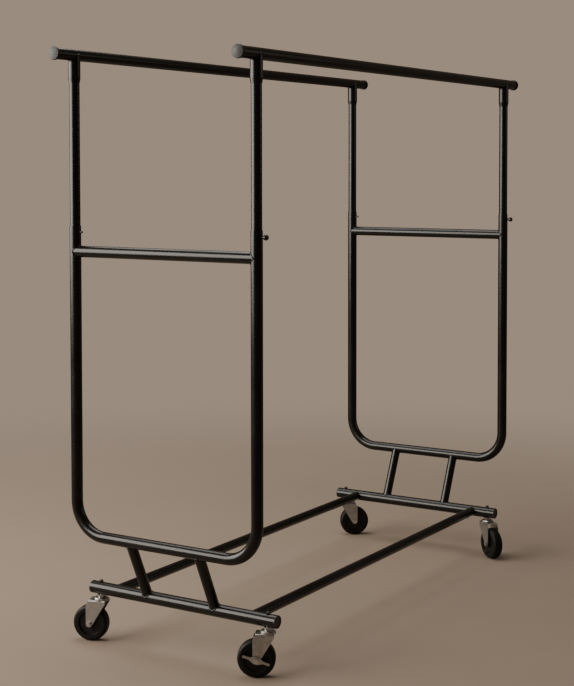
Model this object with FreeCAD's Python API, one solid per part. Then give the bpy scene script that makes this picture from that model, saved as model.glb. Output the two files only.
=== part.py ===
import FreeCAD, Part
import math
import os

"""Rolling clothes rack with two height-adjustable hang rails on four swivel casters.

Millimetres.  +X runs along the hang rails to the right, +Y to the back, +Z up.
The origin is on the floor, under the middle of the rack.
"""

V = FreeCAD.Vector
UP = V(0, 0, 1)

# ---- overall sizes
FRAME_SPACING = 1530.0      # between the two end frames, tube axis to tube axis
LEG_SPACING = 600.0         # between the two legs of an end frame, axis to axis
LEG_TOP_Z = 1175.0          # open top of the outer legs
U_BOTTOM_Z = 320.0          # axis of the bottom run of the end frame
CROSS_BAR_Z = 1105.0        # axis of the bar across the top of the end frame
FRONT_RAIL_Z = 1623.0       # axis of the front hang rail as set
BACK_RAIL_NOTCHES = 1       # holes that the back rail is set higher than the front one

# ---- tubes: outside diameter and wall
FRAME_OD, FRAME_WALL = 31.75, 1.2
UPRIGHT_OD, UPRIGHT_WALL = 28.6, 1.2
RAIL_OD, RAIL_WALL = 31.75, 1.2
SOCKET_OD, SOCKET_LENGTH = 33.6, 60.0
STRUT_OD, STRUT_WALL = 28.6, 1.2
BASE_OD, BASE_WALL = 34.9, 1.5
SIDE_RAIL_OD, SIDE_RAIL_WALL = 28.6, 1.2
BEND_RADIUS = 95.0          # centre line of the bent corners of the end frame

# ---- base
BASE_Z = 150.0              # axis of the base tubes
BASE_INSET = 78.0           # base tube axis inboard of the end frame
BASE_LENGTH = 618.0         # tube only, without its end caps
STRUT_SPACING = 227.0
SIDE_RAIL_SPACING = 456.0
SPIGOT_LENGTH, SPIGOT_WALL, SPIGOT_CLEARANCE = 60.0, 1.5, 0.4
SCREW_FROM_END = 30.0       # side rail screw, from the end of the rail
SCREW_D, SCREW_HEAD_D, SCREW_HEAD_T = 6.0, 11.0, 3.2
CAP_LIP_T, CAP_PLUG_LENGTH, CAP_EDGE = 3.0, 14.0, 1.2
CAP_RIM, CAP_DISH_DEPTH = 2.6, 1.7   # flat rim and sunk face of a base tube plug

# ---- hang rails
RAIL_OVERHANG = 78.0        # rail tube beyond the upright's axis
RAIL_CAP_OD, RAIL_CAP_FLANGE_T = 36.5, 7.0
RAIL_CAP_EDGE, RAIL_CAP_DOME = 1.8, 2.2
RAIL_CAP_FLAT_D = 5.0       # flat in the middle of the dome
SOCKET_TAPER = 13.0
UPRIGHT_IN_SOCKET = 46.0

# ---- height adjustment
HOLE_PITCH, HOLE_D = 20.0, 4.6
HOLES_UP, HOLES_DOWN = 12, 18
UPRIGHT_INSERTION = 385.0   # upright inside the leg with the rail as set
PIN_Z_BELOW_TOP = 17.0
PIN_D, PIN_CLEARANCE = 4.0, 0.06
BUSH_OD, BUSH_PROUD, BUSH_FLANGE_OD, BUSH_FLANGE_T = 6.4, 4.6, 9.0, 0.9
BALL_D, BALL_NECK_D = 15.5, 7.0
BUTTON_D, BUTTON_LENGTH = 6.2, 5.0
REST_GAP = 0.3

# ---- casters
STEM_FROM_END = 28.0        # caster stem, from the end of the base tube
STEM_D, STUD_D, STEM_CLEARANCE = 9.5, 6.0, 0.25
STEM_NUT_AF, CAP_NUT_AF, CAP_NUT_H = 19.0, 10.0, 7.0
WHEEL_D, TYRE_WIDTH, TYRE_DEPTH = 101.6, 32.0, 13.0
TYRE_SHOULDER = 9.0
TRAIL = 30.0                # wheel axle behind the stem axis
HUB_WIDTH, HUB_BOSS_D, HUB_WEB_T, HUB_RIM_T = 34.0, 24.0, 23.0, 4.0
AXLE_D, AXLE_CLEARANCE = 8.0, 0.06
AXLE_HEAD_AF, AXLE_HEAD_T, AXLE_NUT_T, AXLE_TIP = 13.0, 5.3, 5.0, 1.5
FORK_T, FORK_SIDE_GAP = 2.6, 1.5
FORK_TOP_Z = 119.0
FORK_CORNER = 5.0
FORK_FRONT, FORK_REAR = 17.0, 37.0
FORK_TOE_R = 9.5
CROWN_D, RACE_OD, RACE_H, RACE_T = 44.0, 41.0, 5.4, 1.8
RACE_GAP = 0.4
BALL_BEARING_D, BALL_BEARING_COUNT, BALL_PCD = 3.6, 16, 30.0
RIVET_D, RIVET_T = 15.0, 2.4
SWIVEL_CLEARANCE = 0.06
LEVER_LENGTH, LEVER_MIDDLE_W, LEVER_TIP_W, LEVER_T = 76.0, 20.0, 6.5, 2.2
LEVER_TILT = 18.0
CAM_T, CAM_R = 1.6, 9.5
BRAKED = ("left", "front")  # the one corner with a brake lever
SWIVEL_ANGLES = {           # direction that each wheel trails in, from +X towards +Y
    "left_back": 108.0,
    "left_front": 120.0,
    "right_back": -52.0,
    "right_front": -124.0,
}

# ---- worked out from the sizes above
FRAME_X = FRAME_SPACING / 2
LEG_Y = LEG_SPACING / 2
BASE_X = FRAME_X - BASE_INSET
STEM_Y = BASE_LENGTH / 2 - STEM_FROM_END
STRUT_Y = STRUT_SPACING / 2
SIDE_RAIL_Y = SIDE_RAIL_SPACING / 2
FRAME_R, BASE_R, RAIL_R = FRAME_OD / 2, BASE_OD / 2, RAIL_OD / 2
BASE_BOTTOM_Z = BASE_Z - BASE_R
WHEEL_R = WHEEL_D / 2
PIN_Z = LEG_TOP_Z - PIN_Z_BELOW_TOP
BACK_RAIL_Z = FRONT_RAIL_Z + BACK_RAIL_NOTCHES * HOLE_PITCH
SIDES = {"left": -1, "right": 1}
ENDS = {"front": -1, "back": 1}
RAIL_Z = {"front": FRONT_RAIL_Z, "back": BACK_RAIL_Z}


def rod(radius, start, end):
    """Solid cylinder between two points."""
    return Part.makeCylinder(radius, (end - start).Length, start, end - start)


def pipe(outer_d, wall, start, end):
    """Hollow tube between two points."""
    return rod(outer_d / 2, start, end).cut(rod(outer_d / 2 - wall, start, end))


def box_between(low, high):
    size = high - low
    return Part.makeBox(size.x, size.y, size.z, low)


def hexagon(across_flats, height, centre):
    """Upright hexagonal prism standing on centre."""
    corner = across_flats / math.sqrt(3)
    turns = [math.radians(60 * i) for i in range(7)]
    points = [centre + V(corner * math.cos(t), corner * math.sin(t), 0) for t in turns]
    return Part.Face(Part.makePolygon(points)).extrude(UP * height)


def revolved(points, centre, axis=UP):
    """Solid of revolution of a closed outline given as points or Part edges."""
    if isinstance(points[0], FreeCAD.Vector):
        wire = Part.makePolygon(points + [points[0]])
    else:
        wire = Part.Wire(points)
    return Part.Face(wire).revolve(centre, axis, 360)


def one(shapes):
    """One shape of the fused solids."""
    first, rest = shapes[0], list(shapes[1:])
    return first.fuse(rest).removeSplitter() if rest else first


def group(solids):
    """Separate solids that share one node."""
    return Part.makeCompound(solids)


def turned_onto_y(shape, direction):
    """Turn a shape built along +Z so that it points along +Y or -Y."""
    turned = shape.copy()
    turned.rotate(V(0, 0, 0), V(1, 0, 0), -90 * direction)
    return turned


def u_path_solid(radius, x):
    """Solid round bar bent to the shape of the end frame."""
    corner_z = U_BOTTOM_Z + BEND_RADIUS
    corner_y = LEG_Y - BEND_RADIUS
    pieces = [rod(radius, V(x, -corner_y, U_BOTTOM_Z), V(x, corner_y, U_BOTTOM_Z))]
    for way in (-1, 1):
        pieces.append(rod(radius, V(x, way * LEG_Y, corner_z), V(x, way * LEG_Y, LEG_TOP_Z)))
        section = Part.Face(Part.Wire(Part.makeCircle(radius, V(x, way * LEG_Y, corner_z), UP)))
        pivot = V(x, way * corner_y, corner_z)
        pieces.append(section.revolve(pivot, V(-way, 0, 0), 90))
    return one(pieces)


def u_frame(x):
    """Bent outer tube of one end, with the locking pin holes near its open tops."""
    frame = u_path_solid(FRAME_R, x).cut(u_path_solid(FRAME_R - FRAME_WALL, x))
    for way in (-1, 1):
        leg = V(x, way * LEG_Y, PIN_Z)
        frame = frame.cut(rod(BUSH_OD / 2, leg, leg - V(0, FRAME_OD, 0)))
    return frame


def cross_bar(x):
    bar = pipe(FRAME_OD, FRAME_WALL, V(x, -LEG_Y, CROSS_BAR_Z), V(x, LEG_Y, CROSS_BAR_Z))
    legs = [rod(FRAME_R, V(x, way * LEG_Y, U_BOTTOM_Z), V(x, way * LEG_Y, LEG_TOP_Z))
            for way in (-1, 1)]
    return largest(bar.cut(legs))


def largest(shape):
    """The biggest solid of a cut, without the offcuts."""
    return max(shape.Solids, key=lambda solid: solid.Volume)


def strut(side, way):
    """Slanted tube from the bottom run of an end frame down to the base tube."""
    top = V(side * FRAME_X, way * STRUT_Y, U_BOTTOM_Z)
    foot = V(side * BASE_X, way * STRUT_Y, BASE_Z)
    tube = pipe(STRUT_OD, STRUT_WALL, top, foot)
    across = V(0, LEG_Y, 0)
    tube = tube.cut(rod(FRAME_R, top - across, top + across))
    return largest(tube.cut(rod(BASE_R, foot - across, foot + across)))


def base_tube(side):
    x = side * BASE_X
    tube = pipe(BASE_OD, BASE_WALL, V(x, -BASE_LENGTH / 2, BASE_Z), V(x, BASE_LENGTH / 2, BASE_Z))
    for way in (-1, 1):
        stem = V(x, way * STEM_Y, BASE_Z)
        tube = tube.cut(rod(STEM_D / 2 + STEM_CLEARANCE, stem - UP * BASE_OD, stem))
        tube = tube.cut(rod(STUD_D / 2 + STEM_CLEARANCE, stem, stem + UP * BASE_OD))
    return tube


def side_rail(way):
    """Long base rail, coped over the inner sides of both base tubes."""
    y = way * SIDE_RAIL_Y
    tube = pipe(SIDE_RAIL_OD, SIDE_RAIL_WALL, V(-BASE_X, y, BASE_Z), V(BASE_X, y, BASE_Z))
    for side in (-1, 1):
        x = side * BASE_X
        tube = tube.cut(rod(BASE_R, V(x, -LEG_Y, BASE_Z), V(x, LEG_Y, BASE_Z)))
        screw = V(side * screw_x(), y, BASE_Z)
        tube = tube.cut(rod(SCREW_D / 2, screw, screw - UP * SIDE_RAIL_OD))
    return largest(tube)


def screw_x():
    return BASE_X - BASE_R - SCREW_FROM_END


def side_rail_spigot(side, way):
    """Stub welded to the base tube, which the side rail slides over."""
    outer = SIDE_RAIL_OD - 2 * SIDE_RAIL_WALL - 2 * SPIGOT_CLEARANCE
    y = way * SIDE_RAIL_Y
    inner_end = V(side * (BASE_X - BASE_R - SPIGOT_LENGTH), y, BASE_Z)
    stub = pipe(outer, SPIGOT_WALL, inner_end, V(side * BASE_X, y, BASE_Z))
    x = side * BASE_X
    stub = stub.cut(rod(BASE_R, V(x, -LEG_Y, BASE_Z), V(x, LEG_Y, BASE_Z)))
    screw = V(side * screw_x(), y, BASE_Z)
    return largest(stub.cut(rod(SCREW_D / 2, screw, screw - UP * SIDE_RAIL_OD)))


def side_rail_screw(side, way):
    """Pan-head screw up through the rail and its spigot."""
    seat = V(side * screw_x(), way * SIDE_RAIL_Y, BASE_Z - SIDE_RAIL_OD / 2)
    tip = seat + UP * (SIDE_RAIL_WALL + SPIGOT_CLEARANCE + SPIGOT_WALL + SCREW_HEAD_T)
    shank = rod(SCREW_D / 2 - REST_GAP, seat, tip)
    head = rod(SCREW_HEAD_D / 2, seat - UP * SCREW_HEAD_T, seat)
    rim = [e for e in head.Edges if abs(e.CenterOfMass.z - (seat.z - SCREW_HEAD_T)) < REST_GAP]
    head = head.makeFillet(SCREW_HEAD_T / 2, rim)
    recess = rod(SCREW_D / 4, seat - UP * SCREW_HEAD_T, seat - UP * (SCREW_HEAD_T / 3))
    return one([shank, head]).cut(recess)


def end_cap(side, way):
    """Moulded plug in the end of a base tube."""
    face = V(side * BASE_X, way * BASE_LENGTH / 2, BASE_Z)
    outward = V(0, way, 0)
    lip = rod(BASE_R, face, face + outward * CAP_LIP_T)
    edge = [e for e in lip.Edges
            if abs(e.CenterOfMass.y - (face.y + way * CAP_LIP_T)) < REST_GAP]
    lip = lip.makeFillet(CAP_EDGE, edge)
    bore = BASE_R - BASE_WALL
    plug = pipe(2 * bore - REST_GAP, CAP_LIP_T, face - outward * CAP_PLUG_LENGTH, face)
    dish_floor = face + outward * (CAP_LIP_T - CAP_DISH_DEPTH)
    dish = rod(BASE_R - CAP_RIM, dish_floor, face + outward * (2 * CAP_LIP_T))
    return one([lip, plug]).cut(dish)


def hang_rail(end):
    half = FRAME_X + RAIL_OVERHANG
    y, z = ENDS[end] * LEG_Y, RAIL_Z[end]
    return pipe(RAIL_OD, RAIL_WALL, V(-half, y, z), V(half, y, z))


def rail_cap(end, side):
    """Domed cap with a flange, plugged into the end of a hang rail."""
    face_x = FRAME_X + RAIL_OVERHANG
    bore = RAIL_R - RAIL_WALL - REST_GAP / 2
    flange, edge = RAIL_CAP_OD / 2, RAIL_CAP_EDGE
    wide = flange - edge
    dome_radius = (wide ** 2 + RAIL_CAP_DOME ** 2) / (2 * RAIL_CAP_DOME)
    half_turn = math.asin(wide / dome_radius) / 2
    crown_z = RAIL_CAP_FLANGE_T + RAIL_CAP_DOME
    flat = RAIL_CAP_FLAT_D / 2
    flat_rim = V(flat, 0, crown_z - dome_radius + math.sqrt(dome_radius ** 2 - flat ** 2))
    shoulder = V(wide, 0, RAIL_CAP_FLANGE_T)
    on_dome = V(dome_radius * math.sin(half_turn), 0,
                crown_z - dome_radius * (1 - math.cos(half_turn)))
    side_top = V(flange, 0, RAIL_CAP_FLANGE_T - edge)
    on_edge = V(wide + edge * math.sqrt(0.5), 0, RAIL_CAP_FLANGE_T - edge * (1 - math.sqrt(0.5)))
    outline = [
        Part.makeLine(V(0, 0, -CAP_PLUG_LENGTH), V(bore, 0, -CAP_PLUG_LENGTH)),
        Part.makeLine(V(bore, 0, -CAP_PLUG_LENGTH), V(bore, 0, 0)),
        Part.makeLine(V(bore, 0, 0), V(flange, 0, 0)),
        Part.makeLine(V(flange, 0, 0), side_top),
        Part.Arc(side_top, on_edge, shoulder).toShape(),
        Part.Arc(shoulder, on_dome, flat_rim).toShape(),
        Part.makeLine(flat_rim, V(0, 0, flat_rim.z)),
        Part.makeLine(V(0, 0, flat_rim.z), V(0, 0, -CAP_PLUG_LENGTH)),
    ]
    cap = revolved(outline, V(0, 0, 0))
    cap.rotate(V(0, 0, 0), V(0, 1, 0), 90 * SIDES[side])
    cap.translate(V(SIDES[side] * face_x, ENDS[end] * LEG_Y, RAIL_Z[end]))
    return cap


def socket(end, side):
    """Sleeve welded under the hang rail, which holds the top of an upright."""
    x, y, z = SIDES[side] * FRAME_X, ENDS[end] * LEG_Y, RAIL_Z[end]
    outer, inner = SOCKET_OD / 2, UPRIGHT_OD / 2
    bottom = z - RAIL_R - SOCKET_LENGTH
    profile = [
        V(inner, 0, bottom),
        V(inner + REST_GAP * 2, 0, bottom),
        V(outer, 0, bottom + SOCKET_TAPER),
        V(outer, 0, z),
        V(inner, 0, z),
    ]
    sleeve = revolved(profile, V(0, 0, 0))
    sleeve.translate(V(x, y, 0))
    reach = V(SOCKET_OD, 0, 0)
    along = V(x, y, z)
    return largest(sleeve.cut(rod(RAIL_R, along - reach, along + reach)))


def upright(end, side):
    """Inner tube that slides in the leg, with its row of locking holes."""
    x, y, z = SIDES[side] * FRAME_X, ENDS[end] * LEG_Y, RAIL_Z[end]
    raised = z - FRONT_RAIL_Z
    foot = LEG_TOP_Z - UPRIGHT_INSERTION + raised
    head = z - RAIL_R - SOCKET_LENGTH + UPRIGHT_IN_SOCKET
    tube = pipe(UPRIGHT_OD, UPRIGHT_WALL, V(x, y, foot), V(x, y, head))
    holes = []
    for step in range(-HOLES_UP, HOLES_DOWN + 1):
        at = V(x, y, PIN_Z + raised + step * HOLE_PITCH)
        holes.append(rod(HOLE_D / 2, at, at - V(0, UPRIGHT_OD, 0)))
    return tube.cut(holes)


def lock_bush(end, side):
    """Guide bush welded through the wall of the leg; it points to the front."""
    inner_wall = FRAME_R - FRAME_WALL
    bore = PIN_D / 2 + PIN_CLEARANCE
    tip = FRAME_R + BUSH_PROUD
    profile = [
        V(bore, 0, inner_wall),
        V(BUSH_OD / 2, 0, inner_wall),
        V(BUSH_OD / 2, 0, FRAME_R),
        V(BUSH_FLANGE_OD / 2, 0, FRAME_R),
        V(BUSH_FLANGE_OD / 2, 0, FRAME_R + BUSH_FLANGE_T),
        V(BUSH_OD / 2, 0, FRAME_R + BUSH_FLANGE_T),
        V(BUSH_OD / 2, 0, tip),
        V(bore, 0, tip),
    ]
    bush = revolved(profile, V(0, 0, 0))
    leg = Part.makeCylinder(FRAME_R - FRAME_WALL + REST_GAP, BASE_OD, V(0, -BASE_OD / 2, 0),
                            V(0, 1, 0))
    bush = bush.cut(leg)
    bush = turned_onto_y(bush, -1)
    bush.translate(V(SIDES[side] * FRAME_X, ENDS[end] * LEG_Y, PIN_Z))
    return bush


def lock_pin(end, side):
    """Steel pin in the bush, drawn with its tip level with the inside of the leg wall."""
    start = FRAME_R - FRAME_WALL + REST_GAP
    pin = rod(PIN_D / 2, V(0, 0, start), V(0, 0, FRAME_R + BUSH_PROUD + BUTTON_LENGTH / 2))
    pin = turned_onto_y(pin, -1)
    pin.translate(V(SIDES[side] * FRAME_X, ENDS[end] * LEG_Y, PIN_Z))
    return pin


def lock_knob(end, side):
    """Pull knob on the pin: a ball on the front legs, a small stub on the back legs."""
    seat = FRAME_R + BUSH_PROUD + REST_GAP
    hole = rod(PIN_D / 2, V(0, 0, 0), V(0, 0, FRAME_R + BUSH_PROUD + BUTTON_LENGTH / 2))
    if end == "front":
        radius = BALL_D / 2
        drop = math.sqrt(radius ** 2 - (BALL_NECK_D / 2) ** 2)
        ball = Part.makeSphere(radius, V(0, 0, seat + drop))
        below = box_between(V(-BALL_D, -BALL_D, 0), V(BALL_D, BALL_D, seat))
        knob = ball.cut(below).cut(hole)
    else:
        stub = rod(BUTTON_D / 2, V(0, 0, seat), V(0, 0, seat + BUTTON_LENGTH))
        tip = [e for e in stub.Edges
               if abs(e.CenterOfMass.z - seat - BUTTON_LENGTH) < REST_GAP]
        knob = stub.makeFillet(BUTTON_D / 4, tip).cut(hole)
    knob = turned_onto_y(knob, -1)
    knob.translate(V(SIDES[side] * FRAME_X, ENDS[end] * LEG_Y, PIN_Z))
    return knob


# ---- one caster, built with its stem on the Z axis and its wheel trailing along +X

def caster_stem():
    """Stem with its hexagon, threaded through the base tube and riveted under the fork."""
    crown_under = FORK_TOP_Z - FORK_T
    rivet = rod(RIVET_D / 2, V(0, 0, crown_under - REST_GAP - RIVET_T),
                V(0, 0, crown_under - REST_GAP))
    shank = rod(STEM_D / 2, V(0, 0, crown_under - REST_GAP), V(0, 0, BASE_Z))
    stud = rod(STUD_D / 2, V(0, 0, BASE_Z), V(0, 0, BASE_Z + BASE_R + CAP_NUT_H / 2))
    nut_foot = FORK_TOP_Z + RACE_GAP + RACE_H
    nut = hexagon(STEM_NUT_AF, BASE_BOTTOM_Z - nut_foot, V(0, 0, nut_foot))
    trimmed = rod(STEM_NUT_AF / math.sqrt(3) - REST_GAP * 2, V(0, 0, nut_foot),
                  V(0, 0, BASE_BOTTOM_Z))
    return one([rivet, shank, stud, nut.common(trimmed)])


def stem_cap_nut():
    """Small domed nut on the top of the base tube, over the end of the stem."""
    foot = BASE_Z + BASE_R
    nut = hexagon(CAP_NUT_AF, CAP_NUT_H, V(0, 0, foot))
    dome = Part.makeSphere(CAP_NUT_H, V(0, 0, foot))
    bore = rod(STUD_D / 2, V(0, 0, foot), V(0, 0, foot + CAP_NUT_H / 2))
    return nut.common(dome).cut(bore)


def bearing_cap():
    """Pressed cup over the ball race; it stays with the stem."""
    foot = FORK_TOP_Z + RACE_GAP
    top = foot + RACE_H
    outer = RACE_OD / 2
    bore = STEM_D / 2
    slope = RACE_H / 2
    profile = [
        V(bore, 0, top),
        V(bore, 0, top - RACE_T),
        V(outer - RACE_T - slope, 0, top - RACE_T),
        V(outer - RACE_T, 0, top - RACE_T - slope),
        V(outer - RACE_T, 0, foot),
        V(outer, 0, foot),
        V(outer, 0, top - slope),
        V(outer - slope, 0, top),
    ]
    return revolved(profile, V(0, 0, 0))


def bearing_balls():
    """Ring of steel balls between the cup and the fork."""
    z = FORK_TOP_Z + RACE_GAP / 2 + BALL_BEARING_D / 2
    balls = []
    for i in range(BALL_BEARING_COUNT):
        turn = 2 * math.pi * i / BALL_BEARING_COUNT
        at = V(BALL_PCD / 2 * math.cos(turn), BALL_PCD / 2 * math.sin(turn), z)
        balls.append(Part.makeSphere(BALL_BEARING_D / 2, at))
    return balls


def fork_profile():
    """Side outline of the fork leg, from the crown down to the round toe at the axle."""
    top = FORK_TOP_Z
    axle = V(TRAIL, 0, WHEEL_R)
    front_side = tangent_point(V(-FORK_FRONT, 0, top - FORK_CORNER * 2), axle, -1)
    rear_side = tangent_point(V(FORK_REAR + FORK_T, 0, top - FORK_CORNER * 3), axle, 1)
    toe = axle - UP * FORK_TOE_R
    rear = V(FORK_REAR + FORK_T, 0, top - FORK_CORNER * 3)
    rear_top = V(FORK_REAR - FORK_CORNER, 0, top)
    front_top = V(-FORK_FRONT, 0, top)
    front = V(-FORK_FRONT, 0, top - FORK_CORNER * 2)
    edges = [
        Part.makeLine(front_top, front),
        Part.makeLine(front, front_side),
        Part.Arc(front_side, toe, rear_side).toShape(),
        Part.makeLine(rear_side, rear),
        Part.makeLine(rear, rear_top),
        Part.makeLine(rear_top, front_top),
    ]
    return Part.Face(Part.Wire(edges))


def tangent_point(start, centre, way):
    """Where a line from start touches the toe circle, on one side of it."""
    reach = centre - start
    distance = math.hypot(reach.x, reach.z)
    towards = math.atan2(start.z - centre.z, start.x - centre.x)
    swing = math.acos(FORK_TOE_R / distance)
    angle = towards - way * swing
    return centre + V(FORK_TOE_R * math.cos(angle), 0, FORK_TOE_R * math.sin(angle))


def fork():
    """Pressed U-shaped fork with a round crown."""
    outer = fork_outer()
    inner = outer - FORK_T
    face = fork_profile()
    face.translate(V(0, -outer, 0))
    block = face.extrude(V(0, 2 * outer, 0))
    shoulder = [e for e in block.Edges
                if abs(e.CenterOfMass.z - FORK_TOP_Z) < REST_GAP
                and abs(abs(e.CenterOfMass.y) - outer) < REST_GAP]
    block = block.makeFillet(FORK_CORNER, shoulder)
    hollow = box_between(V(-WHEEL_D, -inner, 0), V(WHEEL_D, inner, FORK_TOP_Z - FORK_T))
    under = [e for e in hollow.Edges
             if abs(e.CenterOfMass.z - FORK_TOP_Z + FORK_T) < REST_GAP
             and abs(abs(e.CenterOfMass.y) - inner) < REST_GAP]
    hollow = hollow.makeFillet(FORK_CORNER - FORK_T, under)
    crown = rod(CROWN_D / 2, V(0, 0, FORK_TOP_Z - FORK_T), V(0, 0, FORK_TOP_Z))
    body = one([block.cut(hollow), crown])
    body = body.cut(rod(STEM_D / 2 + SWIVEL_CLEARANCE, V(0, 0, 0), V(0, 0, BASE_Z)))
    axle = V(TRAIL, 0, WHEEL_R)
    across = V(0, WHEEL_D, 0)
    return body.cut(rod(AXLE_D / 2, axle - across, axle + across))


def fork_outer():
    """Outer face of the fork, from the middle of the wheel."""
    return max(TYRE_WIDTH, HUB_WIDTH) / 2 + FORK_SIDE_GAP + FORK_T


def axle_bolt(has_lever):
    """Axle bolt with its head on one side of the fork and a nut on the other."""
    outer = fork_outer()
    nut_foot = outer + (CAM_T + LEVER_T + 2 * REST_GAP if has_lever else 0)
    head = hexagon(AXLE_HEAD_AF, AXLE_HEAD_T, V(0, 0, -outer - AXLE_HEAD_T))
    shank = rod(AXLE_D / 2, V(0, 0, -outer), V(0, 0, nut_foot + AXLE_NUT_T + AXLE_TIP))
    nut = hexagon(AXLE_HEAD_AF, AXLE_NUT_T, V(0, 0, nut_foot))
    return placed_on_axle(one([head, shank, nut]))


def tyre():
    """Solid rubber tread with rounded shoulders."""
    half, inner = TYRE_WIDTH / 2, WHEEL_R - TYRE_DEPTH
    side = WHEEL_R - TYRE_SHOULDER
    crown = half - TYRE_SHOULDER
    bulge = TYRE_SHOULDER * math.sqrt(0.5)
    edges = []
    for way in (1, -1):
        start = V(side, 0, way * half)
        end = V(WHEEL_R, 0, way * crown)
        mid = V(side + bulge, 0, way * (crown + bulge))
        edges.append(Part.makeLine(V(inner, 0, way * half), start))
        edges.append(Part.Arc(start, mid, end).toShape())
    edges.append(Part.makeLine(V(WHEEL_R, 0, crown), V(WHEEL_R, 0, -crown)))
    edges.append(Part.makeLine(V(inner, 0, half), V(inner, 0, -half)))
    face = Part.Face(Part.Wire(Part.__sortEdges__(edges)))
    return placed_on_axle(face.revolve(V(0, 0, 0), UP, 360))


def wheel_centre():
    """Moulded wheel centre: boss, dished web and rim."""
    bore = AXLE_D / 2 + AXLE_CLEARANCE
    boss, rim = HUB_BOSS_D / 2, WHEEL_R - TYRE_DEPTH
    half, web, flange = HUB_WIDTH / 2, HUB_WEB_T / 2, TYRE_WIDTH / 2
    lip = rim - HUB_RIM_T
    slope = HUB_RIM_T
    profile = [
        V(bore, 0, -half), V(boss, 0, -half), V(boss + slope / 2, 0, -web),
        V(lip - slope / 2, 0, -web), V(lip, 0, -flange), V(rim, 0, -flange),
        V(rim, 0, flange), V(lip, 0, flange), V(lip - slope / 2, 0, web),
        V(boss + slope / 2, 0, web), V(boss, 0, half), V(bore, 0, half),
    ]
    return placed_on_axle(revolved(profile, V(0, 0, 0)))


def placed_on_axle(shape):
    wheel = turned_onto_y(shape, 1)
    wheel.translate(V(TRAIL, 0, WHEEL_R))
    return wheel


def brake_lever():
    """Pressed lever across the axle end, with a cam boss behind it."""
    half, middle, tip = LEVER_LENGTH / 2, LEVER_MIDDLE_W / 2, LEVER_TIP_W / 2
    waist = half / 2
    corners = [
        V(-half + tip, -tip, 0), V(-waist, -tip, 0), V(-middle / 2, -middle, 0),
        V(middle / 2, -middle, 0), V(waist, -tip, 0), V(half - tip, -tip, 0),
        V(half - tip, tip, 0), V(waist, tip, 0), V(middle / 2, middle, 0),
        V(-middle / 2, middle, 0), V(-waist, tip, 0), V(-half + tip, tip, 0),
    ]
    plate = Part.Face(Part.makePolygon(corners + [corners[0]])).extrude(UP * LEVER_T)
    rounds = [rod(tip, V(way * (half - tip), 0, 0), V(way * (half - tip), 0, LEVER_T))
              for way in (-1, 1)]
    cam = rod(CAM_R, V(0, 0, -CAM_T), V(0, 0, 0))
    lever = one([plate, cam] + rounds)
    bore = AXLE_D / 2 + AXLE_CLEARANCE
    lever = lever.cut(rod(bore, V(0, 0, -CAM_T), V(0, 0, LEVER_T)))
    lever.rotate(V(0, 0, 0), UP, -LEVER_TILT)
    lever.translate(UP * (fork_outer() + REST_GAP + CAM_T))
    return placed_on_axle(lever)


def on_caster(shape, side, end):
    """Place a caster piece under its corner, turned to the way the wheel trails."""
    piece = shape.copy()
    piece.rotate(V(0, 0, 0), UP, SWIVEL_ANGLES[side + "_" + end])
    piece.translate(V(SIDES[side] * BASE_X, ENDS[end] * STEM_Y, 0))
    return piece


def at_corner(shape, side, end):
    """Place a fixed caster piece, which doesn't swivel."""
    piece = shape.copy()
    piece.translate(V(SIDES[side] * BASE_X, ENDS[end] * STEM_Y, 0))
    return piece


def build():
    """All nodes by name."""
    corners = [(side, end) for side in SIDES for end in ENDS]
    nodes = {}
    for side, x_way in SIDES.items():
        nodes[side + "_u_frame"] = u_frame(x_way * FRAME_X)
        nodes[side + "_cross_bar"] = cross_bar(x_way * FRAME_X)
        nodes[side + "_base_tube"] = base_tube(x_way)
        for end, y_way in ENDS.items():
            nodes[side + "_" + end + "_strut"] = strut(x_way, y_way)
    for end, y_way in ENDS.items():
        nodes[end + "_side_rail"] = side_rail(y_way)
        nodes[end + "_hang_rail"] = hang_rail(end)
        nodes[end + "_rail_caps"] = group([rail_cap(end, side) for side in SIDES])
        for side in SIDES:
            nodes[side + "_" + end + "_socket"] = socket(end, side)
            nodes[side + "_" + end + "_upright"] = upright(end, side)
    ways = [(SIDES[side], ENDS[end]) for side, end in corners]
    nodes["side_rail_spigots"] = group([side_rail_spigot(s, w) for s, w in ways])
    nodes["side_rail_screws"] = group([side_rail_screw(s, w) for s, w in ways])
    nodes["base_end_caps"] = group([end_cap(s, w) for s, w in ways])
    nodes["lock_bushes"] = group([lock_bush(end, side) for side, end in corners])
    for name, shape in (("caster_stems", caster_stem()), ("stem_cap_nuts", stem_cap_nut()),
                        ("caster_bearing_caps", bearing_cap())):
        nodes[name] = group([at_corner(shape, side, end) for side, end in corners])
    balls = bearing_balls()
    nodes["caster_balls"] = group([at_corner(b, side, end) for side, end in corners for b in balls])
    moving = {"caster_fork": fork(), "tyre": tyre(), "wheel_centre": wheel_centre()}
    for side, end in corners:
        corner = side + "_" + end + "_"
        nodes[corner + "lock_pin"] = lock_pin(end, side)
        nodes[corner + "lock_knob"] = lock_knob(end, side)
        for name, shape in moving.items():
            nodes[corner + name] = on_caster(shape, side, end)
        bolt = axle_bolt((side, end) == BRAKED)
        nodes[corner + "caster_axle"] = on_caster(bolt, side, end)
    nodes["_".join(BRAKED) + "_brake_lever"] = on_caster(brake_lever(), *BRAKED)
    return nodes


os.makedirs("parts", exist_ok=True)
for node_name, node_shape in build().items():
    node_shape.exportStep("parts/" + node_name + ".step")
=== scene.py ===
import math

import bmesh
import bpy
from bpy.props import FloatProperty, FloatVectorProperty, IntProperty, PointerProperty
from mathutils import Matrix, Vector


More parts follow.
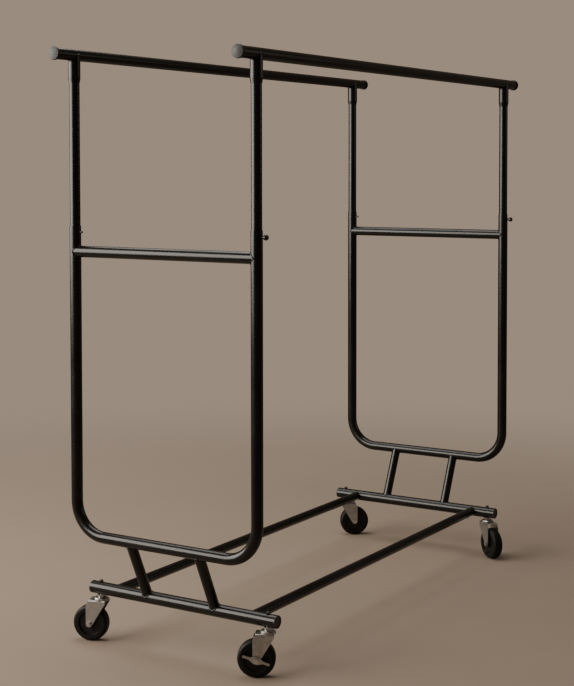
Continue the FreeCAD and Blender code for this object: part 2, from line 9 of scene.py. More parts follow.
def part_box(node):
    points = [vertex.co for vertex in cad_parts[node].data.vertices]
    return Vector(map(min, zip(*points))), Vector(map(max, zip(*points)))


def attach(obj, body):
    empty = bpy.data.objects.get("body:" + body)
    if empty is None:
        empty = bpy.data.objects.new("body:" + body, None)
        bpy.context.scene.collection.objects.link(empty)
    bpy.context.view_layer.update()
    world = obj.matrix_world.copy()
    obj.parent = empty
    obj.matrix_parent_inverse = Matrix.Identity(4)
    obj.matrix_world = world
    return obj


bl_info = {
    "name": "Rolling clothes rack",
    "version": (1, 0, 0),
    "blender": (4, 5, 0),
    "location": "View3D > Sidebar > Clothes Rack",
    "description": "Finishes, weld beads and studio for a rolling clothes rack",
    "category": "Object",
}

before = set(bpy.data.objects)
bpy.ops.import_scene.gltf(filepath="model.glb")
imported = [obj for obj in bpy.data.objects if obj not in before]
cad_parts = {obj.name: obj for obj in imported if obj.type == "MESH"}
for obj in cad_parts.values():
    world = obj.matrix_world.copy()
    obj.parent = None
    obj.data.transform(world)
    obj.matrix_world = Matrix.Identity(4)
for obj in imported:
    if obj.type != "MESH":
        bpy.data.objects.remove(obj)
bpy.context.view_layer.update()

SIDES = ("left", "right")
ENDS = ("front", "back")
CORNERS = [(side, end) for side in SIDES for end in ENDS]

# How much a pattern is squeezed along x, y and z: the lines run along the small ones.
EVEN = (1, 1, 1)
UPWARD_LINES = (1, 1, 0.02)
CROSSWISE_LINES = (1, 0.06, 0.06)
BRUSHED_LINES = (1, 1, 0.12)

# Colour of the turned steel, and the colours that the finishes drift to in patches.
STEEL = (0.62, 0.61, 0.59)
STEEL_SECOND = (0.5, 0.49, 0.47)
CAP_SECOND = (0.024, 0.023, 0.022)
KNOB_SECOND = (0.02, 0.0195, 0.019)
RUBBER_SECOND = (0.0048, 0.0046, 0.0043)
CENTRE_SECOND = (0.0068, 0.0065, 0.0062)

# Colours of knocks, scratches, rubbing, dull zinc and dust.
FRAME_MARKS = (0.045, 0.042, 0.038)
UPRIGHT_MARKS = (0.03, 0.0285, 0.026)
RAIL_MARKS = (0.04, 0.037, 0.034)
ZINC_MARKS = (0.33, 0.32, 0.30)
CENTRE_MARKS = (0.035, 0.031, 0.026)

BUMP_STRENGTH = 0.6
TOP_FACING = (0.35, 0.9)  # upward share of the normal at which top marks start and are full

BEAD_SEGMENTS = 10  # faces around the thickness of a weld bead
RIPPLE_SIZE = 2  # size of a ripple, in bead radii

FLOOR_RADIUS = 5.0
FLOOR_SIDES = 96
FLOOR_SPECULAR = 0.12
FLOOR_FADE = (0.6, 3.9)  # distances from the middle between which the floor fades out
FLOOR_DRIFT = 0.93  # brightness of the floor's second colour, as a share of the first
SIGHT = 200  # how far the camera sees

# Name, place, point aimed at, width and length, power setting and colour of each light.
LIGHTS = (
    ("key_light", (-2.8, 2.75, 1.95), (0, 0, 0.9), (4.2, 2.5), "key_power", (1.0, 0.935, 0.86)),
    ("top_light", (0.3, 0.9, 4.0), (0, 0, 0.5), (2.6, 3.6), "top_power", (1.0, 0.97, 0.93)),
    ("fill_light", (2.6, -4.2, 2.4), (0, 0, 0.8), (3.0, 2.4), "fill_power", (1.0, 0.96, 0.91)),
)


# ---------------------------------------------------------------- measures of the frame

def middle(node):
    """Middle of the node's box."""
    low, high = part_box(node)
    return (low + high) / 2


def half_size(node):
    """Half the width, depth and height of the node's box."""
    low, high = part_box(node)
    return (high - low) / 2


# ---------------------------------------------------------------- user settings

class ClothesRackFinishes(bpy.types.PropertyGroup):
    """Colours and textures of the rack's materials."""

    powder_colour: FloatVectorProperty(
        name="Powder coat", description="Colour of the tubes",
        default=(0.0024, 0.0022, 0.0019), subtype="COLOR", size=3, min=0, max=1)
    powder_second: FloatVectorProperty(
        name="Powder coat, second", description="Colour that the coat drifts to in patches",
        default=(0.0048, 0.0044, 0.0038), subtype="COLOR", size=3, min=0, max=1)
    powder_smooth: FloatProperty(
        name="Powder smoothest", description="Lowest roughness of the coat",
        default=0.19, min=0, max=1, subtype="FACTOR")
    powder_rough: FloatProperty(
        name="Powder roughest", description="Highest roughness of the coat",
        default=0.29, min=0, max=1, subtype="FACTOR")
    zinc_colour: FloatVectorProperty(
        name="Zinc plate", description="Colour of forks, stems and brake lever",
        default=(0.52, 0.515, 0.495), subtype="COLOR", size=3, min=0, max=1)
    zinc_second: FloatVectorProperty(
        name="Zinc plate, dull", description="Colour of the plate's dull patches",
        default=(0.35, 0.345, 0.33), subtype="COLOR", size=3, min=0, max=1)
    rubber_colour: FloatVectorProperty(
        name="Tyre rubber", description="Colour of the tyres",
        default=(0.0032, 0.0031, 0.0029), subtype="COLOR", size=3, min=0, max=1)
    dust_colour: FloatVectorProperty(
        name="Dust", description="Colour of the dust on the treads",
        default=(0.05, 0.043, 0.035), subtype="COLOR", size=3, min=0, max=1)
    plastic_colour: FloatVectorProperty(
        name="Moulded plastic", description="Colour of caps, plugs and knobs",
        default=(0.007, 0.0067, 0.0063), subtype="COLOR", size=3, min=0, max=1)
    centre_colour: FloatVectorProperty(
        name="Wheel centres", description="Colour of the moulded wheel centres",
        default=(0.0038, 0.0036, 0.0034), subtype="COLOR", size=3, min=0, max=1)


class ClothesRackWelds(bpy.types.PropertyGroup):
    """Sizes of the weld beads."""

    bead_radius: FloatProperty(
        name="Bead radius", description="Half the thickness of a weld bead",
        default=0.0021, min=0.0005, max=0.004, unit="LENGTH")
    ripple: FloatProperty(
        name="Ripple", description="Height of the ripples along a bead",
        default=0.0006, min=0, max=0.002, unit="LENGTH")
    steps: IntProperty(
        name="Steps", description="Rings of faces around one weld", default=48, min=16, max=96)


class ClothesRackStudio(bpy.types.PropertyGroup):
    """Camera, lights and floor."""

    camera_place: FloatVectorProperty(
        name="Camera", description="Place of the camera",
        default=(-3.7721, -2.3090, 1.3305), subtype="TRANSLATION", unit="LENGTH", size=3)
    camera_heading: FloatProperty(
        name="Heading", description="Direction the camera looks in, from +X towards +Y",
        default=math.radians(31.18), subtype="ANGLE")
    camera_pitch: FloatProperty(
        name="Pitch", description="Tilt of the camera above the horizon",
        default=math.radians(-2.38), subtype="ANGLE")
    lens: FloatProperty(
        name="Lens", description="Focal length in millimetres on a 36 mm frame",
        default=74.82, min=10, max=300)
    shift: FloatVectorProperty(
        name="Shift", description="Sideways and upward shift of the frame",
        default=(-0.0489, -0.1668), size=2)
    floor_colour: FloatVectorProperty(
        name="Floor", description="Colour of the plain floor",
        default=(0.275, 0.22, 0.17), subtype="COLOR", size=3, min=0, max=1)
    backdrop_colour: FloatVectorProperty(
        name="Backdrop", description="Colour of the plain surroundings",
        default=(0.355, 0.278, 0.213), subtype="COLOR", size=3, min=0, max=1)
    ambient: FloatProperty(
        name="Ambient", description="Share of the surroundings that lights the rack",
        default=0.32, min=0, max=1, subtype="FACTOR")
    key_power: FloatProperty(
        name="Key light", description="Power of the large soft light", default=300, min=0,
        unit="POWER")
    top_power: FloatProperty(
        name="Top light", description="Power of the overhead soft light", default=105, min=0,
        unit="POWER")
    fill_power: FloatProperty(
        name="Fill light", description="Power of the weak front light", default=14, min=0,
        unit="POWER")


# ---------------------------------------------------------------- shader node groups

def add_node(tree, kind, props=None, **inputs):
    """Adds a node, with its settings and the values of its named inputs."""
    made = tree.nodes.new(kind)
    for key, value in (props or {}).items():
        setattr(made, key, value)
    for key, value in inputs.items():
        made.inputs[key.replace("_", " ")].default_value = value
    return made


def new_group(name, inputs, outputs):
    """An empty shader node group with the given sockets."""
    tree = bpy.data.node_groups.new(name, "ShaderNodeTree")
    for label, kind, value in inputs:
        socket = tree.interface.new_socket(name=label, in_out="INPUT", socket_type=kind)
        socket.default_value = value
    for label, kind in outputs:
        tree.interface.new_socket(name=label, in_out="OUTPUT", socket_type=kind)
    return tree, tree.nodes.new("NodeGroupInput"), tree.nodes.new("NodeGroupOutput")


FLOAT, COLOUR, VECTOR = "NodeSocketFloat", "NodeSocketColor", "NodeSocketVector"


def mottle_group():
    """Slow drift between two colours and two roughnesses."""
    tree, given, result = new_group("Mottle", [
        ("Colour", COLOUR, (0.02, 0.02, 0.02, 1)), ("Second Colour", COLOUR, (0.04, 0.04, 0.04, 1)),
        ("Scale", FLOAT, 10), ("Smooth", FLOAT, 0.3), ("Rough", FLOAT, 0.5),
    ], [("Colour", COLOUR), ("Roughness", FLOAT)])
    place = add_node(tree, "ShaderNodeTexCoord")
    clouds = add_node(tree, "ShaderNodeTexNoise", Detail=6.0, Roughness=0.62)
    spread = add_node(tree, "ShaderNodeMapRange", From_Min=0.34, From_Max=0.66)
    blend = add_node(tree, "ShaderNodeMix", {"data_type": "RGBA"})
    gloss = add_node(tree, "ShaderNodeMapRange", From_Min=0.28, From_Max=0.72)
    links = tree.links
    links.new(place.outputs["Object"], clouds.inputs["Vector"])
    links.new(given.outputs["Scale"], clouds.inputs["Scale"])
    links.new(clouds.outputs["Fac"], spread.inputs["Value"])
    links.new(spread.outputs["Result"], blend.inputs["Factor"])
    links.new(given.outputs["Colour"], blend.inputs["A"])
    links.new(given.outputs["Second Colour"], blend.inputs["B"])
    links.new(blend.outputs["Result"], result.inputs["Colour"])
    links.new(clouds.outputs["Fac"], gloss.inputs["Value"])
    links.new(given.outputs["Smooth"], gloss.inputs["To Min"])
    links.new(given.outputs["Rough"], gloss.inputs["To Max"])
    links.new(gloss.outputs["Result"], result.inputs["Roughness"])
    return tree


def relief_group():
    """Fine surface relief: orange peel, moulding grain or brushed lines, by its stretch."""
    tree, given, result = new_group("Relief", [
        ("Stretch", VECTOR, (1, 1, 1)), ("Scale", FLOAT, 500),
    ], [("Height", FLOAT)])
    place = add_node(tree, "ShaderNodeTexCoord")
    stretched = add_node(tree, "ShaderNodeVectorMath", {"operation": "MULTIPLY"})
    grain = add_node(tree, "ShaderNodeTexNoise", Detail=2.0, Roughness=0.5)
    links = tree.links
    links.new(place.outputs["Object"], stretched.inputs[0])
    links.new(given.outputs["Stretch"], stretched.inputs[1])
    links.new(stretched.outputs["Vector"], grain.inputs["Vector"])
    links.new(given.outputs["Scale"], grain.inputs["Scale"])
    links.new(grain.outputs["Fac"], result.inputs["Height"])
    return tree


def scuff_group():
    """Thin marks that lie along one direction and come in patches."""
    tree, given, result = new_group("Scuffs", [
        ("Stretch", VECTOR, (1, 1, 1)), ("Scale", FLOAT, 100), ("Cover", FLOAT, 0.6),
        ("Patch Scale", FLOAT, 6),
    ], [("Mask", FLOAT)])
    place = add_node(tree, "ShaderNodeTexCoord")
    stretched = add_node(tree, "ShaderNodeVectorMath", {"operation": "MULTIPLY"})
    marks = add_node(tree, "ShaderNodeTexNoise", Detail=3.0, Roughness=0.55)
    sharper = add_node(tree, "ShaderNodeMapRange", From_Max=0.75)
    patches = add_node(tree, "ShaderNodeTexNoise", Detail=2.0, Roughness=0.5)
    gate = add_node(tree, "ShaderNodeMapRange", From_Min=0.45, From_Max=0.62)
    both = add_node(tree, "ShaderNodeMath", {"operation": "MULTIPLY"})
    links = tree.links
    links.new(place.outputs["Object"], stretched.inputs[0])
    links.new(given.outputs["Stretch"], stretched.inputs[1])
    links.new(stretched.outputs["Vector"], marks.inputs["Vector"])
    links.new(given.outputs["Scale"], marks.inputs["Scale"])
    links.new(marks.outputs["Fac"], sharper.inputs["Value"])
    links.new(given.outputs["Cover"], sharper.inputs["From Min"])
    links.new(place.outputs["Object"], patches.inputs["Vector"])
    links.new(given.outputs["Patch Scale"], patches.inputs["Scale"])
    links.new(patches.outputs["Fac"], gate.inputs["Value"])
    links.new(sharper.outputs["Result"], both.inputs[0])
    links.new(gate.outputs["Result"], both.inputs[1])
    links.new(both.outputs["Value"], result.inputs["Mask"])
    return tree


def shared(name, maker):
    """The named node group, made the first time it is asked for."""
    return bpy.data.node_groups.get(name) or maker()


def place_group(tree, group, **inputs):
    """Places a node group in a material, with the values of its named inputs."""
    return add_node(tree, "ShaderNodeGroup", {"node_tree": group}, **inputs)


def rgba(colour):
    """The colour with full alpha."""
    return (*colour, 1.0)


def finish_material(name, colour, second, patch_scale, smooth, rough, relief_scale, relief_depth,
                    metallic=0.0, specular=0.5, relief=EVEN, marks=None, marks_colour=None,
                    marks_top_only=False):
    """A material with drifting colour and gloss, fine relief and, if asked, scuff marks."""
    material = bpy.data.materials.new(name)
    material.use_nodes = True
    tree = material.node_tree
    shader = tree.nodes["Principled BSDF"]
    shader.inputs["Metallic"].default_value = metallic
    shader.inputs["Specular IOR Level"].default_value = specular
    drift = place_group(tree, shared("Mottle", mottle_group), Colour=rgba(colour),
                        Second_Colour=rgba(second), Scale=patch_scale, Smooth=smooth,
                        Rough=rough)
    peel = place_group(tree, shared("Relief", relief_group), Stretch=relief, Scale=relief_scale)
    bump = add_node(tree, "ShaderNodeBump", Strength=BUMP_STRENGTH, Distance=relief_depth)
    links = tree.links
    links.new(peel.outputs["Height"], bump.inputs["Height"])
    links.new(bump.outputs["Normal"], shader.inputs["Normal"])
    links.new(drift.outputs["Roughness"], shader.inputs["Roughness"])
    if marks is None:
        links.new(drift.outputs["Colour"], shader.inputs["Base Color"])
        return material
    mask = place_group(tree, shared("Scuffs", scuff_group), **marks).outputs["Mask"]
    if marks_top_only:
        facing = add_node(tree, "ShaderNodeNewGeometry")
        split = add_node(tree, "ShaderNodeSeparateXYZ")
        upward = add_node(tree, "ShaderNodeMapRange", From_Min=TOP_FACING[0],
                          From_Max=TOP_FACING[1])
        both = add_node(tree, "ShaderNodeMath", {"operation": "MULTIPLY"})
        links.new(facing.outputs["Normal"], split.inputs["Vector"])
        links.new(split.outputs["Z"], upward.inputs["Value"])
        links.new(upward.outputs["Result"], both.inputs[0])
        links.new(mask, both.inputs[1])
        mask = both.outputs["Value"]
    worn = add_node(tree, "ShaderNodeMix", {"data_type": "RGBA"}, B=rgba(marks_colour))
    links.new(mask, worn.inputs["Factor"])
    links.new(drift.outputs["Colour"], worn.inputs["A"])
    links.new(worn.outputs["Result"], shader.inputs["Base Color"])
    return material


def powder_coat(name, marks, marks_colour, marks_top_only=False):
    """The rack's satin powder coat with its marks, made the first time it is asked for."""
    finishes = bpy.context.scene.clothes_rack_finishes
    return bpy.data.materials.get(name) or finish_material(
        name, finishes.powder_colour, finishes.powder_second, patch_scale=7.0,
        smooth=finishes.powder_smooth, rough=finishes.powder_rough, relief_scale=750.0,
        relief_depth=0.00002, specular=0.37, marks=marks, marks_colour=marks_colour,
        marks_top_only=marks_top_only)


def frame_coat():
    """Powder coat with a few light knocks, for frames, base, bushes and weld beads."""
    return powder_coat(
        "Powder coat of the frames", marks_colour=FRAME_MARKS,
        marks={"Stretch": EVEN, "Scale": 160.0, "Cover": 0.66, "Patch Scale": 3.0})


def bright_steel():
    """Turned steel of pins, axles, balls and screws."""
    return bpy.data.materials.get("Bright turned steel") or finish_material(
        "Bright turned steel", STEEL, STEEL_SECOND, patch_scale=120.0, smooth=0.18, rough=0.36,
        metallic=1.0, relief_scale=1500.0, relief_depth=0.00003)


def paint(nodes, material):
    """Gives the material to every material slot of the CAD nodes."""
    for name in nodes:
        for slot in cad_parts[name].material_slots:
            slot.material = material


# ---------------------------------------------------------------- weld beads

def deselect_all():
    """Leaves nothing selected, so an operator acts on the new piece alone."""
    bpy.ops.object.select_all(action="DESELECT")


def saddle_height(across, along_host, tube_way, host_radius):
    """How far along the tube a point of its wall meets the surface of the host tube."""
    reach = across - along_host * across.dot(along_host)
    climb = tube_way - along_host * tube_way.dot(along_host)
    a, b = climb.dot(climb), reach.dot(climb)
    inside = max(b * b - a * (reach.dot(reach) - host_radius ** 2), 0.0)
    return (math.sqrt(inside) - b) / a


def weld_bead(name, joint, tube_way, tube_radius, host_way, host_radius, welds):
    """Bead around a tube where it meets a host tube; joint is on the host's axis.

    A ring is laid around the tube, and each step of it is moved along the tube until it lies on
    the host's wall.
    """
    turn = tube_way.to_track_quat("Z", "Y")
    deselect_all()
    bpy.ops.mesh.primitive_torus_add(
        align="WORLD", location=joint, rotation=turn.to_euler(), major_segments=welds.steps,
        minor_segments=BEAD_SEGMENTS, major_radius=tube_radius, minor_radius=welds.bead_radius)
    bead = bpy.context.object
    bead.name = name
    bpy.ops.object.transform_apply(location=True, rotation=True, scale=True)
    bpy.ops.object.mode_set(mode="EDIT")
    step_angle = 2 * math.pi / welds.steps
    for step in range(welds.steps):
        angle = step_angle * step
        across = turn @ Vector((math.cos(angle), math.sin(angle), 0)) * tube_radius
        bpy.ops.mesh.select_all(action="DESELECT")
        mesh = bmesh.from_edit_mesh(bead.data)
        for vertex in mesh.verts:
            arm = vertex.co - joint
            arm -= tube_way * arm.dot(tube_way)
            vertex.select = arm.angle(across) < step_angle / 4
        mesh.select_flush(True)
        bmesh.update_edit_mesh(bead.data)
        lift = tube_way * saddle_height(across, host_way, tube_way, host_radius)
        bpy.ops.transform.translate(value=lift)
    bpy.ops.mesh.select_all(action="SELECT")
    bpy.ops.mesh.normals_make_consistent(inside=False)
    bpy.ops.object.mode_set(mode="OBJECT")
    textures = bpy.data.textures
    ripples = textures.get("weld_ripples") or textures.new("weld_ripples", "CLOUDS")
    ripples.noise_scale = welds.bead_radius * RIPPLE_SIZE
    wave = bead.modifiers.new("Ripples", "DISPLACE")
    wave.texture, wave.strength, wave.mid_level = ripples, welds.ripple, 0.5
    bpy.ops.object.modifier_apply(modifier=wave.name)
    bpy.ops.object.shade_smooth()
    return bead


def copy_bead(bead, name, move):
    """A copy with its own mesh, moved in its mesh."""
    twin = bead.copy()
    twin.data = bead.data.copy()
    twin.name = name
    twin.data.transform(move)
    bpy.context.scene.collection.objects.link(twin)
    return twin


def carried(start, end, turned):
    """Moves a bead from one joint to another, turned half round if asked."""
    turn = Matrix.Rotation(math.pi if turned else 0.0, 4, "Z")
    return Matrix.Translation(end) @ turn @ Matrix.Translation(-start)


def finish_bead(bead, body, material):
    """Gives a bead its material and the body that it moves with."""
    bead.data.materials.append(material)
    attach(bead, body)


# ---------------------------------------------------------------- stage

def aimed(place, target):
    """Turn that points a light's -Z axis from place to target."""
    return (Vector(target) - Vector(place)).to_track_quat("-Z", "Y").to_euler()


def soft_light(name, place, target, size, power, colour):
    """Rectangular light that shines from place to target."""
    deselect_all()
    bpy.ops.object.light_add(type="AREA", location=place, rotation=aimed(place, target))
    lamp = bpy.context.object
    lamp.name = name
    lamp.data.shape = "RECTANGLE"
    lamp.data.size, lamp.data.size_y = size
    lamp.data.energy = power
    lamp.data.color = colour


def floor_material(colour):
    """Plain floor that fades into the surroundings."""
    material = bpy.data.materials.new("Studio floor")
    material.use_nodes = True
    tree = material.node_tree
    shader = tree.nodes["Principled BSDF"]
    shader.inputs["Specular IOR Level"].default_value = FLOOR_SPECULAR
    output = tree.nodes["Material Output"]
    drift = place_group(tree, shared("Mottle", mottle_group), Colour=rgba(colour),
                        Second_Colour=rgba([c * FLOOR_DRIFT for c in colour]), Scale=0.9,
                        Smooth=0.6, Rough=0.72)
    place = add_node(tree, "ShaderNodeTexCoord")
    reach = add_node(tree, "ShaderNodeVectorMath", {"operation": "LENGTH"})
    fade = add_node(tree, "ShaderNodeMapRange", {"interpolation_type": "SMOOTHSTEP"},
                    From_Min=FLOOR_FADE[0], From_Max=FLOOR_FADE[1])
    clear = add_node(tree, "ShaderNodeBsdfTransparent")
    both = add_node(tree, "ShaderNodeMixShader")
    links = tree.links
    links.new(drift.outputs["Colour"], shader.inputs["Base Color"])
    links.new(drift.outputs["Roughness"], shader.inputs["Roughness"])
    links.new(place.outputs["Object"], reach.inputs[0])
    links.new(reach.outputs["Value"], fade.inputs["Value"])
    links.new(fade.outputs["Result"], both.inputs["Fac"])
    links.new(shader.outputs["BSDF"], both.inputs[1])
    links.new(clear.outputs["BSDF"], both.inputs[2])
    links.new(both.outputs["Shader"], output.inputs["Surface"])
    return material


# ---------------------------------------------------------------- operators

class RACK_OT_frames(bpy.types.Operator):
    """Powder coat with a few light knocks on the end frames and the base"""

    bl_idname = "clothes_rack.frames"
    bl_label = "Finish frames and base"

    def execute(self, context):
        names = [side + piece for side in SIDES
                 for piece in ("_u_frame", "_cross_bar", "_base_tube")]
        names += [f"{side}_{end}_strut" for side, end in CORNERS]
        names += ["front_side_rail", "back_side_rail", "side_rail_spigots"]
        paint(names, frame_coat())
        return {"FINISHED"}


class RACK_OT_uprights(bpy.types.Operator):
    """Powder coat with thin upright scratches from sliding in the legs"""

    bl_idname = "clothes_rack.uprights"
    bl_label = "Finish uprights"

    def execute(self, context):
        coat = powder_coat(
            "Powder coat of the uprights", marks_colour=UPRIGHT_MARKS,
            marks={"Stretch": UPWARD_LINES, "Scale": 900.0, "Cover": 0.62, "Patch Scale": 5.0})
        paint([f"{side}_{end}_upright" for side, end in CORNERS], coat)
        return {"FINISHED"}


class RACK_OT_hang_rails(bpy.types.Operator):
    """Powder coat rubbed by hangers along the top of the rails, and moulded end caps"""

    bl_idname = "clothes_rack.hang_rails"
    bl_label = "Finish hang rails"

    def execute(self, context):
        rubbed = powder_coat(
            "Powder coat of the rails", marks_colour=RAIL_MARKS, marks_top_only=True,
            marks={"Stretch": CROSSWISE_LINES, "Scale": 700.0, "Cover": 0.55, "Patch Scale": 4.0})
        names = [end + "_hang_rail" for end in ENDS]
        names += [f"{side}_{end}_socket" for side, end in CORNERS]
        paint(names, rubbed)
        finishes = context.scene.clothes_rack_finishes
        cap = finish_material(
            "Smooth cap plastic", finishes.plastic_colour, CAP_SECOND, patch_scale=40.0,
            smooth=0.42, rough=0.56, relief_scale=900.0, relief_depth=0.00003, specular=0.4)
        paint([end + "_rail_caps" for end in ENDS], cap)
        return {"FINISHED"}


class RACK_OT_weld_beads(bpy.types.Operator):
    """Weld beads at the cross bars, struts and sockets"""

    bl_idname = "clothes_rack.weld_beads"
    bl_label = "Model weld beads"

    def execute(self, context):
        welds = context.scene.clothes_rack_welds
        across = Vector((0, 1, 0))
        up = Vector((0, 0, 1))

        def leg_joint(side, end, height):
            """Point on a leg's axis at the height."""
            foot = middle(f"{side}_{end}_upright")
            return Vector((foot.x, foot.y, height))

        bar = half_size("left_cross_bar")
        height = middle("left_cross_bar").z
        start = leg_joint("left", "front", height)
        leg_radius = half_size("left_u_frame").x
        first = weld_bead("weld_cross_bar_left_front", start, across, bar.x, up, leg_radius, welds)
        beads = [(first, "root")]
        for side, end in CORNERS[1:]:
            move = carried(start, leg_joint(side, end, height), end == "back")
            beads.append((copy_bead(first, f"weld_cross_bar_{side}_{end}", move), "root"))

        frame_low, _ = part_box("left_u_frame")
        strut = middle("left_front_strut")
        strut_radius = half_size("left_front_strut").y
        base = middle("left_base_tube")
        base_radius = half_size("left_base_tube").x
        head = Vector((middle("left_u_frame").x, strut.y, frame_low.z + leg_radius))
        foot = Vector((base.x, strut.y, base.z))
        down = (foot - head).normalized()
        for label, point, way, radius in (("head", head, down, leg_radius),
                                          ("foot", foot, -down, base_radius)):
            first = weld_bead(f"weld_strut_{label}_left_front", point, way, strut_radius, across,
                              radius, welds)
            beads.append((first, "root"))
            for side, end in CORNERS[1:]:
                to = point.copy()
                to.y = middle(f"{side}_{end}_strut").y
                if side == "right":
                    to.x = -to.x
                move = carried(point, to, side == "right")
                beads.append((copy_bead(first, f"weld_strut_{label}_{side}_{end}", move), "root"))

        sleeve = half_size("left_front_socket").x
        start = leg_joint("left", "front", middle("front_hang_rail").z)
        first = weld_bead("weld_socket_left_front", start, -up, sleeve, Vector((1, 0, 0)),
                          half_size("front_hang_rail").y, welds)
        beads.append((first, "front_rail"))
        for side, end in CORNERS[1:]:
            move = carried(start, leg_joint(side, end, middle(end + "_hang_rail").z), False)
            beads.append((copy_bead(first, f"weld_socket_{side}_{end}", move), end + "_rail"))
        coat = frame_coat()
        for bead, body in beads:
            finish_bead(bead, body, coat)
        return {"FINISHED"}


class RACK_OT_locks(bpy.types.Operator):
    """Bright pins, coated bushes and polished pull knobs"""

    bl_idname = "clothes_rack.locks"
    bl_label = "Finish lock plungers"

    def execute(self, context):
        finishes = context.scene.clothes_rack_finishes
        paint(["lock_bushes"], frame_coat())
        knob = finish_material(
            "Polished knob plastic", finishes.plastic_colour, KNOB_SECOND, patch_scale=90.0,
            smooth=0.12, rough=0.24, relief_scale=1200.0, relief_depth=0.00003)
        paint([f"{side}_{end}_lock_knob" for side, end in CORNERS], knob)
        paint([f"{side}_{end}_lock_pin" for side, end in CORNERS] + ["side_rail_screws"],
              bright_steel())
        return {"FINISHED"}


class RACK_OT_casters(bpy.types.Operator):
    """Zinc plated forks, stems, cups and brake lever, with bright axles"""

    bl_idname = "clothes_rack.casters"
    bl_label = "Finish casters"

    def execute(self, context):
        finishes = context.scene.clothes_rack_finishes
        zinc = finish_material(
            "Zinc plate", finishes.zinc_colour, finishes.zinc_second, patch_scale=55.0,
            smooth=0.24, rough=0.46, metallic=1.0, relief=BRUSHED_LINES, relief_scale=900.0,
            relief_depth=0.00006, marks_colour=ZINC_MARKS,
            marks={"Stretch": EVEN, "Scale": 420.0, "Cover": 0.6, "Patch Scale": 30.0})
        names = [f"{side}_{end}_caster_fork" for side, end in CORNERS]
        paint(names + ["caster_stems", "caster_bearing_caps", "left_front_brake_lever"], zinc)
        paint([f"{side}_{end}_caster_axle" for side, end in CORNERS] + ["caster_balls"],
              bright_steel())
        return {"FINISHED"}


class RACK_OT_wheels(bpy.types.Operator):
    """Hard black tyres with dusty treads, on moulded wheel centres"""

    bl_idname = "clothes_rack.wheels"
    bl_label = "Finish wheels"

    def execute(self, context):
        finishes = context.scene.clothes_rack_finishes
        rubber = finish_material(
            "Tyre rubber", finishes.rubber_colour, RUBBER_SECOND, patch_scale=45.0, smooth=0.42,
            rough=0.56, relief_scale=850.0, relief_depth=0.00008, specular=0.2,
            marks_colour=finishes.dust_colour,
            marks={"Stretch": EVEN, "Scale": 240.0, "Cover": 0.6, "Patch Scale": 18.0})
        paint([f"{side}_{end}_tyre" for side, end in CORNERS], rubber)
        centre = finish_material(
            "Wheel centre plastic", finishes.centre_colour, CENTRE_SECOND, patch_scale=60.0,
            smooth=0.3, rough=0.44, relief_scale=1100.0, relief_depth=0.00006, specular=0.25,
            marks_colour=CENTRE_MARKS,
            marks={"Stretch": EVEN, "Scale": 300.0, "Cover": 0.63, "Patch Scale": 25.0})
        paint([f"{side}_{end}_wheel_centre" for side, end in CORNERS], centre)
        return {"FINISHED"}


class RACK_OT_plugs(bpy.types.Operator):
    """Moulded end plugs of the base tubes and the nuts over the stems"""

    bl_idname = "clothes_rack.plugs"
    bl_label = "Finish plugs and stem nuts"

    def execute(self, context):
        finishes = context.scene.clothes_rack_finishes
        plug = finish_material(
            "Plug plastic", finishes.plastic_colour, CAP_SECOND, patch_scale=50.0, smooth=0.36,
            rough=0.52, relief_scale=1000.0, relief_depth=0.00008)
        paint(["base_end_caps", "stem_cap_nuts"], plug)
        return {"FINISHED"}


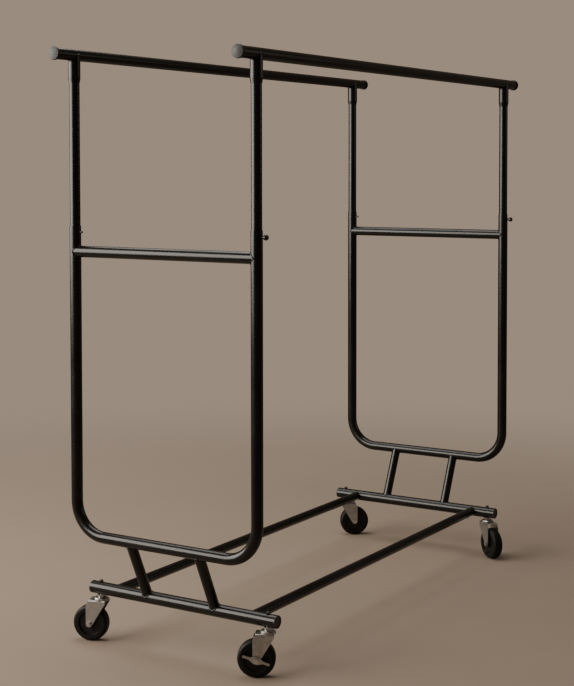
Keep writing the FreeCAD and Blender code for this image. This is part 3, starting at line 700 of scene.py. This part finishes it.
class RACK_OT_studio(bpy.types.Operator):
    """Plain floor, soft lights and the camera"""

    bl_idname = "clothes_rack.studio"
    bl_label = "Set up studio"

    def execute(self, context):
        studio = context.scene.clothes_rack_studio
        deselect_all()
        bpy.ops.mesh.primitive_circle_add(vertices=FLOOR_SIDES, radius=FLOOR_RADIUS,
                                          fill_type="NGON")
        floor = context.object
        floor.name = "studio_floor"
        floor.data.materials.append(floor_material(studio.floor_colour))

        for name, place, target, size, power, colour in LIGHTS:
            soft_light(name, place, target, size, getattr(studio, power), colour)

        world = context.scene.world or bpy.data.worlds.new("Studio")
        context.scene.world = world
        world.use_nodes = True
        tree = world.node_tree
        sky = tree.nodes["Background"]
        sky.inputs["Color"].default_value = rgba(studio.backdrop_colour)
        seen = add_node(tree, "ShaderNodeLightPath")
        strength = add_node(tree, "ShaderNodeMapRange", To_Min=studio.ambient)
        tree.links.new(seen.outputs["Is Camera Ray"], strength.inputs["Value"])
        tree.links.new(strength.outputs["Result"], sky.inputs["Strength"])

        lens = bpy.data.cameras.new("studio_camera")
        lens.lens = studio.lens
        lens.shift_x, lens.shift_y = studio.shift
        lens.clip_end = SIGHT
        camera = bpy.data.objects.new("studio_camera", lens)
        context.scene.collection.objects.link(camera)
        camera.location = studio.camera_place
        camera.rotation_euler = (math.pi / 2 + studio.camera_pitch, 0,
                                 studio.camera_heading - math.pi / 2)
        context.scene.camera = camera
        return {"FINISHED"}


class RACK_PT_panel(bpy.types.Panel):
    """Lists the rack's steps and settings"""

    bl_idname = "RACK_PT_panel"
    bl_label = "Rolling Clothes Rack"
    bl_space_type = "VIEW_3D"
    bl_region_type = "UI"
    bl_category = "Clothes Rack"

    def draw(self, context):
        layout = self.layout
        for group in SETTINGS:
            box = layout.box()
            holder = getattr(context.scene, group)
            for field in holder.bl_rna.properties.keys():
                if field not in ("rna_type", "name"):
                    box.prop(holder, field)
        for operator in OPERATORS:
            layout.operator(operator.bl_idname)


OPERATORS = (RACK_OT_studio, RACK_OT_frames, RACK_OT_uprights, RACK_OT_hang_rails,
             RACK_OT_weld_beads, RACK_OT_locks, RACK_OT_casters, RACK_OT_wheels, RACK_OT_plugs)
SETTINGS = {
    "clothes_rack_finishes": ClothesRackFinishes,
    "clothes_rack_welds": ClothesRackWelds,
    "clothes_rack_studio": ClothesRackStudio,
}


def register():
    for group, kind in SETTINGS.items():
        bpy.utils.register_class(kind)
        setattr(bpy.types.Scene, group, PointerProperty(type=kind))
    for operator in OPERATORS:
        bpy.utils.register_class(operator)
    bpy.utils.register_class(RACK_PT_panel)


def unregister():
    bpy.utils.unregister_class(RACK_PT_panel)
    for operator in reversed(OPERATORS):
        bpy.utils.unregister_class(operator)
    for group, kind in SETTINGS.items():
        delattr(bpy.types.Scene, group)
        bpy.utils.unregister_class(kind)


def main():
    """Runs every step in order."""
    register()
    for operator in OPERATORS:
        family, step = operator.bl_idname.split(".")
        getattr(getattr(bpy.ops, family), step)()


if __name__ == "__main__":
    main()
